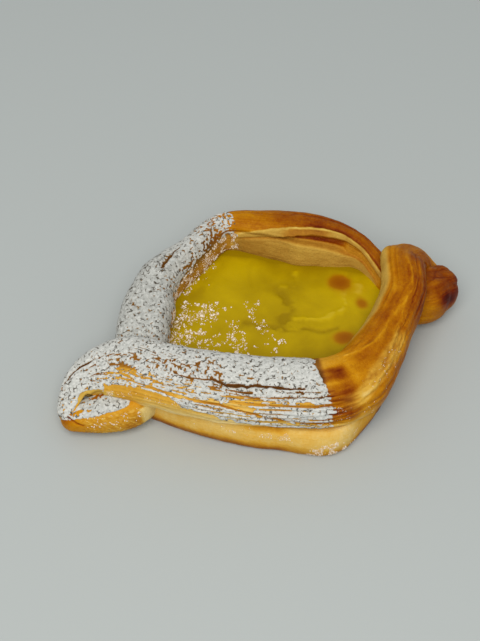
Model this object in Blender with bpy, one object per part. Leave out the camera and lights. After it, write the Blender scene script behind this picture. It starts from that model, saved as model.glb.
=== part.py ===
"""Diamond-shaped danish pastry with a custard window.

A square of laminated dough is slit into two L-shaped side strips that stay joined to it at two opposite
corners. Each strip is lifted over to the far side, so the two strips cross near those corners, leave a loop
at each end, and make the raised rim round the custard. Baked, the dough is one piece: a low base, the two
strips swept along their routes, and a recess for the custard, joined and cut by Booleans.

+X runs from the left loop to the right loop, +Y to the back corner and +Z up. The origin is on the resting
surface under the middle of the pastry. Sizes below are in millimetres.
"""

import math

import bmesh
import bpy
import numpy as np

MM = 0.001

# The sizes and stations below are drawn from the middle of the custard. The model is then moved, so that the
# middle of its whole outline, with the loops, stands at the origin.
OUTLINE_MIDDLE = (-1.6, -6.11, 0)

# Base: the diamond of dough under the rim
BASE_LEFT = (-47.5, -15)
BASE_FRONT = (5.5, -54.3)
BASE_RIGHT = (50.8, -13.2)
BASE_BACK = (4, 43)
BASE_HEIGHT = 11.0  # table to the top of the base, under the strips
BASE_BOW = 4.0  # how far each side bulges past a straight line
BASE_EDGE = 3.0  # how far its rounded edge draws in at top and bottom

# Custard: a shallow pool whose rim is tucked under the strips
CUSTARD_LEFT = (-43, -8)
CUSTARD_FRONT = (7, -43)
CUSTARD_RIGHT = (49, -5)
CUSTARD_BACK = (2, 34)
CUSTARD_FLOOR = 6.5  # dough left under it
CUSTARD_TOP = 12.5  # table to its surface
CUSTARD_BOW = 2.0
CUSTARD_EDGE = 1.0
CUSTARD_GAP = 0.35  # clearance to the dough, which it touches in the real thing

CORNER_SOFTNESS = 7.0  # rounding of the corners of both diamonds, along the edge

# The crease where the back strip's layers part, over the custard
CREASE_DEPTH = 0.2  # as a share of the strip's half thickness
CREASE_ANGLE = 40  # degrees above the middle of its inner side
CREASE_SPREAD = 11  # degrees
CREASE_MIDDLE = 27  # x of its deepest place
CREASE_REACH = 13  # x from there to where it has faded

# How finely the pieces are faceted
STRIP_STATIONS = 76
STRIP_SIDES = 26
BASE_SIDES = 100
CUSTARD_SIDES = 60
EDGE_LAYERS = 6
CAP_RINGS = 4
SECTION_SQUARENESS = 0.75  # 1 is an ellipse, 0 a rectangle

# Stations of the strip along the front, which crosses over at both loops, and of the one along the back,
# which runs under it and comes out as the small lobes in front: x, y and z of the strip's middle, its width
# and height there, and its roll in degrees towards its right-hand side
FRONT_STRIP = (
    (-65.8, -11.4, 7, 9, 9, 0),  # its root, round the tip of the left loop
    (-60.6, -7, 10, 13.5, 11, 5),
    (-50, -7.2, 14, 20, 12, 14),  # over the back strip
    (-37, -17.5, 17, 21, 14, 14),
    (-20, -29.2, 17.5, 21.5, 15, 12),
    (-4, -37.2, 17.5, 21.5, 15, 10),
    (9, -40.8, 16.5, 22, 16, 8),  # the front corner
    (17.2, -38.2, 15, 20.5, 19, 10),
    (26, -31.5, 14.5, 18, 20, 12),
    (37, -21, 15, 15.2, 20, 12),
    (45.6, -10.8, 17.2, 15, 18.5, 7),
    (50, -2.4, 17.8, 14.5, 15.5, 0),  # over the back strip again
    (55, 0, 13.5, 12.5, 13, 0),
    (60.5, -2.8, 9, 9, 9, 0),  # its root, behind the right lobe
)
BACK_STRIP = (
    (-66, -14, 6, 8.5, 8, 0),  # its root, the left lobe
    (-57, -16, 6.5, 12.4, 12, 0),
    (-46.7, -15, 7.5, 15.5, 13, 0),
    (-41, -3, 11, 15.5, 14, 0),  # out from under the front strip
    (-36.4, 8, 14, 15.5, 15, 0),
    (-24.8, 21.2, 15, 13.5, 16, 0),
    (-10, 28.8, 15.5, 9.8, 16.5, 0),
    (0.8, 34, 16.2, 10, 17.5, 0),  # the back corner
    (9.8, 30.8, 16.5, 12.5, 18, 0),
    (19.3, 26.1, 16.5, 15.5, 18, 0),
    (31.6, 18.6, 16, 14.3, 18, 0),
    (41.5, 8.2, 14, 9, 14.5, 0),
    (48, -6, 10, 15, 14, 0),  # under the front strip again
    (55.5, -9, 9, 17.5, 17, 0),
    (60, -8.3, 8.5, 13.5, 14.5, 0),  # its root, the right lobe
)

CRUST = ((0.56, 0.27, 0.07), 0.45)  # base colour and roughness
CUSTARD = ((0.47, 0.36, 0.02), 0.35)


def natural_spline(knots, count):
    """Rows at even steps along the natural cubic spline through the rows of knots."""
    knots = np.array(knots, float)
    steps = np.linalg.norm(np.diff(knots[:, :3], axis=0), axis=1)
    at = np.concatenate([[0], np.cumsum(steps)])
    system = np.eye(len(at))
    target = np.zeros_like(knots)
    slopes = np.diff(knots, axis=0) / steps[:, None]
    for i in range(1, len(at) - 1):
        system[i, i - 1 : i + 2] = steps[i - 1], 2 * (steps[i - 1] + steps[i]), steps[i]
        target[i] = 6 * (slopes[i] - slopes[i - 1])
    bend = np.linalg.solve(system, target)
    place = np.linspace(0, at[-1], count)
    i = np.clip(np.searchsorted(at, place, side="right") - 1, 0, len(at) - 2)
    step = steps[i][:, None]
    before = (at[i + 1] - place)[:, None] / step
    after = 1 - before
    curved = (before**3 - before) * bend[i] + (after**3 - after) * bend[i + 1]
    return before * knots[i] + after * knots[i + 1] + curved * step**2 / 6


def unit(vectors):
    return vectors / np.linalg.norm(vectors, axis=1)[:, None]


def closed_mesh(name, rings, low_pole, high_pole):
    """An object whose skin joins rings of equally many points, closed to a pole at either end."""
    sides = len(rings[0])
    points = (np.concatenate([*rings, [low_pole], [high_pole]]) - OUTLINE_MIDDLE) * MM
    low, high = len(points) - 2, len(points) - 1
    last = (len(rings) - 1) * sides
    faces = []
    for j in range(sides):
        beside = (j + 1) % sides
        for start in range(0, last, sides):
            faces.append((start + j, start + beside, start + sides + beside, start + sides + j))
        faces.append((low, beside, j))
        faces.append((high, last + j, last + beside))
    mesh = bpy.data.meshes.new(name)
    mesh.from_pydata(points.tolist(), [], faces)
    skin = bmesh.new()
    skin.from_mesh(mesh)
    bmesh.ops.recalc_face_normals(skin, faces=skin.faces)
    skin.to_mesh(mesh)
    skin.free()
    mesh.shade_smooth()
    mesh.set_sharp_from_angle(angle=math.radians(50))
    obj = bpy.data.objects.new(name, mesh)
    bpy.context.collection.objects.link(obj)
    return obj


def strip(name, stations, crease=0.0):
    """A strip of dough: a rounded rectangle carried along the spline through its stations, with domed ends.

    The crease is a groove along the side at CREASE_ANGLE, as deep as this share of the half thickness.
    """
    rows = natural_spline(stations, STRIP_STATIONS)
    middle, width, height = rows[:, :3], rows[:, 3], rows[:, 4]
    roll = np.radians(rows[:, 5])[:, None]
    along = unit(np.gradient(middle, axis=0))
    right = unit(np.cross(along, (0, 0, 1)))
    up = np.cross(right, along)
    side = np.cos(roll) * right - np.sin(roll) * up
    top = np.sin(roll) * right + np.cos(roll) * up
    angle = np.linspace(0, 2 * math.pi, STRIP_SIDES, endpoint=False)
    across = np.sign(np.cos(angle)) * np.abs(np.cos(angle)) ** SECTION_SQUARENESS / 2
    tall = np.sign(np.sin(angle)) * np.abs(np.sin(angle)) ** SECTION_SQUARENESS / 2
    groove = np.exp(-(((np.degrees(angle) - CREASE_ANGLE) / CREASE_SPREAD) ** 2))
    rings = []
    for k in range(STRIP_STATIONS):
        fade = math.exp(-(((middle[k, 0] - CREASE_MIDDLE) / CREASE_REACH) ** 4))
        size = 1 - crease * fade * groove
        across_here = np.outer(across * width[k] * size, side[k])
        rings.append(middle[k] + across_here + np.outer(tall * height[k] * size, top[k]))
    first, last = rings[0], rings[-1]
    head, tail = -along[0] * height[0] / 2, along[-1] * height[-1] / 2
    for ring in range(1, CAP_RINGS):
        turn = ring / CAP_RINGS * math.pi / 2
        rings.insert(0, middle[0] + head * math.sin(turn) + (first - middle[0]) * math.cos(turn))
        rings.append(middle[-1] + tail * math.sin(turn) + (last - middle[-1]) * math.cos(turn))
    return closed_mesh(name, rings, middle[0] + head, middle[-1] + tail)


def bowed_diamond(corners, bow, sides):
    """Outline with four sides that bulge by bow, whose corners are softened by a running mean."""
    steps = 200
    outline = []
    for start, end in zip(corners, corners[1:] + corners[:1]):
        t = np.linspace(0, 1, steps, endpoint=False)[:, None]
        edge = np.subtract(end, start)
        outward = np.array([edge[1], -edge[0]]) / np.linalg.norm(edge)
        outline.append(start + t * edge + 4 * t * (1 - t) * bow * outward)
    outline = np.concatenate(outline)
    gaps = np.linalg.norm(outline - np.roll(outline, 1, axis=0), axis=1)
    reach = int(CORNER_SOFTNESS / gaps.mean())
    soft = np.mean([np.roll(outline, shift, axis=0) for shift in range(-reach, reach + 1)], axis=0)
    return soft[:: len(soft) // sides]


def pillow(name, outline, low, high, edge):
    """A flat slab over the outline, whose side is a half ellipse that draws in by edge at top and bottom."""
    middle = outline.mean(axis=0)
    from_middle = outline - middle
    distance = np.linalg.norm(from_middle, axis=1)[:, None]
    rings = []
    for layer in range(EDGE_LAYERS + 1):
        turn = math.pi * (layer / EDGE_LAYERS - 0.5)
        ring = middle + from_middle * (1 - edge * (1 - math.cos(turn)) / distance)
        z = (low + high) / 2 + (high - low) / 2 * math.sin(turn)
        rings.append(np.column_stack([ring, np.full(len(ring), z)]))
    return closed_mesh(name, rings, (*middle, low), (*middle, high))


def table_block():
    """Everything below the table, to cut the dough flat where it rests."""
    mesh = bpy.data.meshes.new("table_block")
    block = bmesh.new()
    bmesh.ops.create_cube(block, size=200 * MM)
    bmesh.ops.translate(block, verts=block.verts, vec=(0, 0, -100 * MM))
    block.to_mesh(mesh)
    block.free()
    obj = bpy.data.objects.new("table_block", mesh)
    bpy.context.collection.objects.link(obj)
    return obj


def combine(target, operation, helper):
    """Add a Boolean with helper to target, and keep helper itself out of the model.

    Both are closed, so the MANIFOLD solver applies, and it joins the curled strips where EXACT does not.
    """
    boolean = target.modifiers.new(helper.name, "BOOLEAN")
    boolean.operation = operation
    boolean.solver = "MANIFOLD"
    boolean.object = helper
    helper.hide_render = True
    helper.display_type = "WIRE"


def finish(obj, name, look):
    """Give the object a Principled material of this base colour and roughness."""
    color, roughness = look
    material = bpy.data.materials.new(name)
    material.use_nodes = True
    shader = material.node_tree.nodes["Principled BSDF"]
    shader.inputs["Base Color"].default_value = (*color, 1)
    shader.inputs["Roughness"].default_value = roughness
    obj.data.materials.append(material)


def custard_pool(name, gap):
    """The custard, or with a gap the recess that it lies in."""
    corners = [CUSTARD_LEFT, CUSTARD_FRONT, CUSTARD_RIGHT, CUSTARD_BACK]
    outline = bowed_diamond(corners, CUSTARD_BOW, CUSTARD_SIDES)
    middle = outline.mean(axis=0)
    grown = outline + unit(outline - middle) * gap * math.sqrt(2)
    return pillow(name, grown, CUSTARD_FLOOR - gap, CUSTARD_TOP + gap, CUSTARD_EDGE)


def main():
    for obj in list(bpy.data.objects):
        bpy.data.objects.remove(obj)
    corners = [BASE_LEFT, BASE_FRONT, BASE_RIGHT, BASE_BACK]
    outline = bowed_diamond(corners, BASE_BOW, BASE_SIDES)
    dough = pillow("dough", outline, -1, BASE_HEIGHT, BASE_EDGE)
    combine(dough, "UNION", strip("front_strip", FRONT_STRIP))
    combine(dough, "UNION", strip("back_strip", BACK_STRIP, CREASE_DEPTH))
    combine(dough, "DIFFERENCE", custard_pool("custard_recess", CUSTARD_GAP))
    combine(dough, "DIFFERENCE", table_block())
    custard = custard_pool("custard", 0)
    finish(dough, "baked_dough", CRUST)
    finish(custard, "baked_custard", CUSTARD)


main()
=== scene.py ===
# A diamond-shaped danish pastry: two crossed strips of laminated dough round a window of baked custard, with
# powdered sugar over its left half. Shapes are worked out in millimetres, in the layout that the solids were
# drawn in, and are moved and scaled to the frame's metres when a mesh is made.
import math
from functools import partial

import bpy
import numpy as np
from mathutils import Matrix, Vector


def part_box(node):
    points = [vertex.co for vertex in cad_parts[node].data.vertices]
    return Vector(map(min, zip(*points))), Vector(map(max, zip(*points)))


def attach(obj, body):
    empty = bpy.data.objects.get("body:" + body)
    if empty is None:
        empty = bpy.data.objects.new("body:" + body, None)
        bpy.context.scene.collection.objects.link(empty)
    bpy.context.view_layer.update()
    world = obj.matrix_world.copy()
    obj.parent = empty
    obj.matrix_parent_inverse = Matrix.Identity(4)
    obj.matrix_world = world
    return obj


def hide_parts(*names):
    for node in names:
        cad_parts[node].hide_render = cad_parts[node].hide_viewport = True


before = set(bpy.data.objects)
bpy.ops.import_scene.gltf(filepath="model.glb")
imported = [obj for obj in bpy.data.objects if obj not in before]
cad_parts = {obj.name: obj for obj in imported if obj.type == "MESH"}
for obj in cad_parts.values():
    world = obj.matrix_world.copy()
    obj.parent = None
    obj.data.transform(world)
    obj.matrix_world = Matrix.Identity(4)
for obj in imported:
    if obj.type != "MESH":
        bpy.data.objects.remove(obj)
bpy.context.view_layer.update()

mm = 0.001
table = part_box("dough")[0][2] / mm  # height of the dough's underside
custardLow, custardHigh = (np.array(corner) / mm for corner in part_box("custard"))
outlineMiddle = np.array([-1.6, -6.11, 0])  # middle of the whole outline, in the layout's own x and y
rng = np.random.default_rng(7)


# Smooth value noise from -1 to 1: random heights at the corners of a cubic lattice of this size in mm, blended
# by 6t^5 - 15t^4 + 10t^3 between them.
def noise(points, size, seed):
    place = points / size
    cell = np.floor(place).astype(np.int64)
    part = place - cell
    part = part**3 * (part * (part * 6 - 15) + 10)
    total = 0
    for corner in np.ndindex(2, 2, 2):
        weight = np.prod(np.where(corner, part, 1 - part), axis=-1)
        key = ((cell + corner) @ np.array([73856093, 19349663, 83492791]) + seed * 7919) & 0xFFFFFFFF
        key = ((key ^ (key >> 15)) * 0x2C1B3C6D) & 0xFFFFFFFF
        key = ((key ^ (key >> 12)) * 0x297A2D39) & 0xFFFFFFFF
        key ^= key >> 15
        total = total + weight * ((key & 0xFFFF) / 32767.5 - 1)
    return total


# Noise summed over octaves, each half as large and half as strong as the one before.
def fractal(points, size, seed, octaves=3):
    layers = [noise(points, size / 2**k, seed + 31 * k) / 2**k for k in range(octaves)]
    return sum(layers) / 1.5


# 0 below low, 1 above high, and 3t^2 - 2t^3 between them.
def ease(value, low, high):
    t = np.clip((value - low) / (high - low), 0, 1)
    return t * t * (3 - 2 * t)


# 1 between low and high, falling to 0 over soft on either side.
def window(value, low, high, soft):
    return ease(value, low - soft, low) * (1 - ease(value, high, high + soft))


# A round bell of this radius about a point, 1 at its middle.
def bell(points, middle, radius):
    return np.exp(-(((points - np.array(middle)) / np.array(radius)) ** 2).sum(axis=-1))


# Values at these places, straight between the rows of a table of places and values.
def tableValue(rows, places):
    return np.interp(places, *np.array(rows, float).T)


def unit(vectors):
    return vectors / np.maximum(np.linalg.norm(vectors, axis=-1, keepdims=True), 1e-9)


# Normals of a grid of points: the cross product of its two central differences, turned by sign.
def gridNormals(grid, sign, around=False):
    down = np.gradient(grid, axis=0)
    if around:
        across = np.roll(grid, -1, axis=1) - np.roll(grid, 1, axis=1)
    else:
        across = np.gradient(grid, axis=1)
    return sign * unit(np.cross(down, across))


# Makes an object of points in the layout's mm and faces given as arrays of triangles and quads, with one float
# attribute for each named field, and gives it to the frame.
def addPiece(name, points, quads, triangles, fields, material, replacedNode, slotName):
    corners = np.concatenate([quads.ravel(), triangles.ravel()]).astype(np.int32)
    sizes = np.concatenate([np.full(len(quads), 4), np.full(len(triangles), 3)]).astype(np.int32)
    mesh = bpy.data.meshes.new(name)
    mesh.vertices.add(len(points))
    mesh.vertices.foreach_set("co", ((points - outlineMiddle) * mm).astype(np.float32).ravel())
    mesh.loops.add(len(corners))
    mesh.loops.foreach_set("vertex_index", corners)
    mesh.polygons.add(len(sizes))
    mesh.polygons.foreach_set("loop_start", np.concatenate([[0], np.cumsum(sizes)[:-1]]).astype(np.int32))
    mesh.update(calc_edges=True)
    mesh.validate()
    mesh.shade_smooth()
    for field, values in fields.items():
        layer = mesh.attributes.new(field, "FLOAT", "POINT")
        layer.data.foreach_set("value", values.astype(np.float32).ravel())
    piece = bpy.data.objects.new(name, mesh)
    bpy.context.collection.objects.link(piece)
    mesh.materials.append(material)
    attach(piece, "root")
    if replacedNode:
        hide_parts(replacedNode)
    print(f"{name}: {len(quads) * 2 + len(triangles)} triangles")


# Makes a piece of a closed skin: a grid whose rows' last points are joined to their first, and a pole at either
# end, where each field has the two values that poleValues gives. The rest goes on to addPiece.
def addSkin(name, grid, poles, fields, poleValues, flip, *rest):
    rows, sides = grid.shape[:2]
    index = np.arange(rows * sides).reshape(rows, sides)
    beside = np.roll(index, -1, axis=1)
    quads = np.stack([index[:-1], beside[:-1], beside[1:], index[1:]], axis=-1).reshape(-1, 4)
    first, last = np.full(sides, rows * sides), np.full(sides, rows * sides + 1)
    low = np.stack([first, beside[0], index[0]], axis=-1)
    high = np.stack([last, index[-1], beside[-1]], axis=-1)
    order = -1 if flip else 1
    fields = {key: np.concatenate([value.ravel(), poleValues(value)]) for key, value in fields.items()}
    addPiece(name, np.concatenate([grid.reshape(-1, 3), poles]), quads[:, ::order],
             np.concatenate([low, high])[:, ::order], fields, *rest)


def hexColor(code):  # sRGB hex to linear
    channels = np.array([int(code[i : i + 2], 16) for i in (0, 2, 4)]) / 255
    linear = np.where(channels <= 0.04045, channels / 12.92, ((channels + 0.055) / 1.055) ** 2.4)
    return (*linear, 1)


# Adds a shader node with these settings, links or sets its inputs, named or as i and a number, and fills its ramp.
def addNode(tree, kind, settings=None, stops=(), **inputs):
    node = tree.nodes.new(f"ShaderNode{kind}")
    for key, value in (settings or {}).items():
        setattr(node, key, value)
    for key, value in inputs.items():
        socket = node.inputs[int(key[1:]) if key[0] == "i" and key[1:].isdigit() else key.replace("_", " ")]
        if isinstance(value, bpy.types.Node):
            value = value.outputs[0]
        if isinstance(value, bpy.types.NodeSocket):
            tree.links.new(value, socket)
        else:
            socket.default_value = value
    if stops:
        elements = node.color_ramp.elements
        while len(elements) < len(stops):
            elements.new(0.5)
        for element, (place, code) in zip(elements, stops):
            element.position = place
            element.color = hexColor(code)
    return node


# An empty material, and what adds a node to it.
def newMaterial(name):
    material = bpy.data.materials.new(name)
    material.use_nodes = True
    material.node_tree.nodes.clear()
    return material, partial(addNode, material.node_tree)


# Finishes a material with this color, roughness and bumps, and the look's other values.
def finishLook(add, look, color, roughness, height):
    bump = add("Bump", Height=height, Strength=look["bump"], Distance=look["bumpDepth"] * mm)
    shader = add("BsdfPrincipled", Base_Color=color, Roughness=roughness, IOR=look["ior"], Normal=bump,
                 Specular_IOR_Level=look["specular"])
    add("OutputMaterial", Surface=shader)


# Egg-washed laminated dough, brushed and baked: its bake runs from the cream of a cut layer over gold to burnt
# red-brown, and it shines where the wash lay and is matt where a layer was cut.
crust = {
    "stops": [(0.0, "E8D098"), (0.15, "E0B85E"), (0.3, "DAA230"), (0.45, "C6860A"), (0.6, "AA6600"),
              (0.75, "8A4200"), (0.88, "681E00"), (1.0, "440A00")],
    "cutStops": [(0.0, "EEDA9A"), (0.3, "D4B052"), (0.6, "AA8032"), (1.0, "664414")],
    "mottleSize": 2.6, "mottle": 0.10,  # mm between blotches, and how far they shift the bake
    "streakSpacing": 0.9, "streak": 0.04,  # mm between the fine lines along the layers
    "streakPace": 0.09,  # how many times per mm they change along them
    "speckSize": 0.75, "speck": 0.10,  # mm between flecks of browner and paler skin
    "grainSize": 0.4,  # mm between the small blisters of the skin
    "streakHeight": 0.6, "speckHeight": 0.6,  # how much lines and flecks stand out beside the blisters
    "bump": 0.6, "bumpDepth": 0.26,  # strength, and depth in mm
    "glossy": 0.4, "matt": 0.75,  # roughness of washed and of cut skin
    "roughSwing": 0.12,  # how far the blotches shift it
    "specular": 0.08, "ior": 1.45,
}


def crustMaterial():
    material, add = newMaterial("egg-washed laminated dough")
    place = add("TexCoord").outputs["Object"]
    bake, cut, along, around = (add("Attribute", {"attribute_name": field}).outputs["Fac"]
                                for field in ("bake", "cut", "along", "around"))
    blotches = add("TexNoise", Vector=place, Scale=1000 / crust["mottleSize"], Detail=4.0, Roughness=0.6)
    far = add("Math", {"operation": "MULTIPLY"}, i0=along, i1=crust["streakPace"])
    near = add("Math", {"operation": "DIVIDE"}, i0=around, i1=crust["streakSpacing"])
    lines = add("CombineXYZ", X=far, Y=near)
    streaks = add("TexNoise", Vector=lines, Scale=1.0, Detail=3.0, Roughness=0.6)
    specks = add("TexNoise", Vector=place, Scale=1000 / crust["speckSize"], Detail=3.0, Roughness=0.7)
    grain = add("TexNoise", Vector=place, Scale=1000 / crust["grainSize"], Detail=2.0)

    def shifted(value, wave, amount):  # value + (wave - 0.5) * 2 * amount
        swing = add("Math", {"operation": "MULTIPLY_ADD"}, i0=wave, i1=2 * amount, i2=-amount)
        return add("Math", {"operation": "ADD"}, i0=value, i1=swing)

    tone = shifted(shifted(bake, blotches, crust["mottle"]), streaks, crust["streak"])
    tone = shifted(tone, specks, crust["speck"])
    washed = add("ValToRGB", stops=crust["stops"], Fac=tone)
    bare = add("ValToRGB", stops=crust["cutStops"], Fac=tone)
    color = add("Mix", {"data_type": "RGBA"}, i0=cut, i6=washed, i7=bare)
    rough = add("MapRange", Value=cut, To_Min=crust["glossy"], To_Max=crust["matt"])
    rougher = shifted(rough, blotches, crust["roughSwing"])
    height = shifted(shifted(grain, streaks, crust["streakHeight"]), specks, crust["speckHeight"])
    finishLook(add, crust, color.outputs[2], rougher, height)
    return material


# Baked egg custard: a soft sheen over a clear yellow that browns in spots where it blistered.
custardLook = {
    "stops": [(0.0, "967A00"), (0.35, "AE9200"), (0.65, "BEA200"), (1.0, "D0B636")],
    "brownStops": [(0.0, "B08A00"), (0.5, "A46C00"), (1.0, "925000")],
    "swirlSize": 9.0, "swirl": 0.6,  # mm between lighter and darker swirls, and their strength
    "fineSize": 0.8, "bump": 0.15, "bumpDepth": 0.2,  # mm between fine bumps, their strength, their depth in mm
    "roughness": 0.45, "specular": 0.15, "ior": 1.42,
}


def custardMaterial():
    material, add = newMaterial("baked egg custard")
    place = add("TexCoord").outputs["Object"]
    brown, light = (add("Attribute", {"attribute_name": field}).outputs["Fac"] for field in ("brown", "light"))
    swirl = add("TexNoise", Vector=place, Scale=1000 / custardLook["swirlSize"], Detail=4.0,
                Roughness=0.55, Distortion=0.6)
    # the light attribute carries the custard's tone, with painted highlight and shade in it
    tone = add("Math", {"operation": "MULTIPLY_ADD"}, i0=swirl, i1=custardLook["swirl"], i2=light)
    yellow = add("ValToRGB", stops=custardLook["stops"], Fac=tone)
    burnt = add("ValToRGB", stops=custardLook["brownStops"], Fac=brown)
    amount = add("MapRange", Value=brown, From_Min=0.05, From_Max=0.6)
    mixed = add("Mix", {"data_type": "RGBA"}, i0=amount, i6=yellow, i7=burnt)
    fine = add("TexNoise", Vector=place, Scale=1000 / custardLook["fineSize"], Detail=3.0)
    finishLook(add, custardLook, mixed.outputs[2], custardLook["roughness"], fine)
    return material


# Powdered sugar, sifted on: a matt white powder that clumps, with dark ticks between its clumps, which are crust
# in the crevices with painted shade over it, and where it lies thin it lets the crust through.
sugarLook = {
    "powder": [(0.15, "9C9D97"), (0.32, "B0B1AB"), (0.5, "C8C9C3"), (0.68, "DADAD4")],
    "grains": [(0.35, "DCC49C"), (0.5, "F0E2CC"), (0.65, "FAF4EC")],
    # the ticks' colour: crust in the crevices with painted shade over it
    "pore": "4A4236", "crust": "8A6A3C",
    "clumpSize": 1.0, "poreSpacing": 1.5,  # mm between clumps, and between the lines that ticks lie on
    "poreBend": 0.6,  # mm by which the clumps bend those lines
    "poreWidth": (0.035, 0.13),  # where a tick's dark heart ends and where it has faded, in spacings
    "porePatch": 1.3,  # mm between the patches that have ticks
    "speckSize": 0.35,  # mm between the specks of crust that show through
    "grainTone": 0.7,  # mm between creamier and whiter grains
    "bump": 0.35, "bumpDepth": 0.2,  # strength, and depth in mm
    "roughness": 0.95, "specular": 0.1, "ior": 1.4, "grainRoughness": 0.8, "grainSpecular": 0.3,
}


def sugarMaterial():
    material, add = newMaterial("sifted powdered sugar")
    place = add("TexCoord").outputs["Object"]
    thin, grey = (add("Attribute", {"attribute_name": field}).outputs["Fac"] for field in ("thin", "grey"))
    clumps = add("TexNoise", Vector=place, Scale=1000 / sugarLook["clumpSize"], Detail=4.0, Roughness=0.65)
    specks = add("TexNoise", Vector=place, Scale=1000 / sugarLook["speckSize"], Detail=2.0)
    # the powder painted greyer as shade where the strip's table says so
    tone = add("Math", {"operation": "SUBTRACT"}, i0=clumps, i1=grey)
    powder = add("ValToRGB", stops=sugarLook["powder"], Fac=tone)
    bend = add("Mix", {"data_type": "RGBA", "blend_type": "LINEAR_LIGHT"},
               i0=sugarLook["poreBend"] * mm, i6=place, i7=clumps.outputs[1])
    cells = add("TexVoronoi", {"feature": "DISTANCE_TO_EDGE"}, Vector=bend.outputs[2],
                Scale=1000 / sugarLook["poreSpacing"])
    heart, faded = sugarLook["poreWidth"]
    line = add("MapRange", Value=cells, From_Min=heart, From_Max=faded, To_Min=1.0, To_Max=0.0)
    patches = add("TexNoise", Vector=place, Scale=1000 / sugarLook["porePatch"], Detail=1.0)
    kept = add("MapRange", Value=patches, From_Min=0.5, From_Max=0.62)
    pore = add("Math", {"operation": "MULTIPLY"}, i0=line, i1=kept)
    # painted shade in the ticks
    pored = add("Mix", {"data_type": "RGBA"}, i0=pore, i6=powder, i7=hexColor(sugarLook["pore"]))
    shown = add("Math", {"operation": "ADD"}, i0=thin, i1=specks)
    bared = add("MapRange", Value=shown, From_Min=1.0, From_Max=1.3)
    under = add("Mix", {"data_type": "RGBA"}, i0=bared, i6=pored.outputs[2], i7=hexColor(sugarLook["crust"]))
    finishLook(add, sugarLook, under.outputs[2], sugarLook["roughness"], clumps)
    return material


# Its loose grains: whiter or creamier from one to the next.
def grainMaterial():
    material, add = newMaterial("loose grains of powdered sugar")
    place = add("TexCoord").outputs["Object"]
    tone = add("TexNoise", Vector=place, Scale=1000 / sugarLook["grainTone"], Detail=1.0)
    color = add("ValToRGB", stops=sugarLook["grains"], Fac=tone)
    shader = add("BsdfPrincipled", Base_Color=color, IOR=sugarLook["ior"],
                 Roughness=sugarLook["grainRoughness"], Specular_IOR_Level=sugarLook["grainSpecular"])
    add("OutputMaterial", Surface=shader)
    return material


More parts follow.
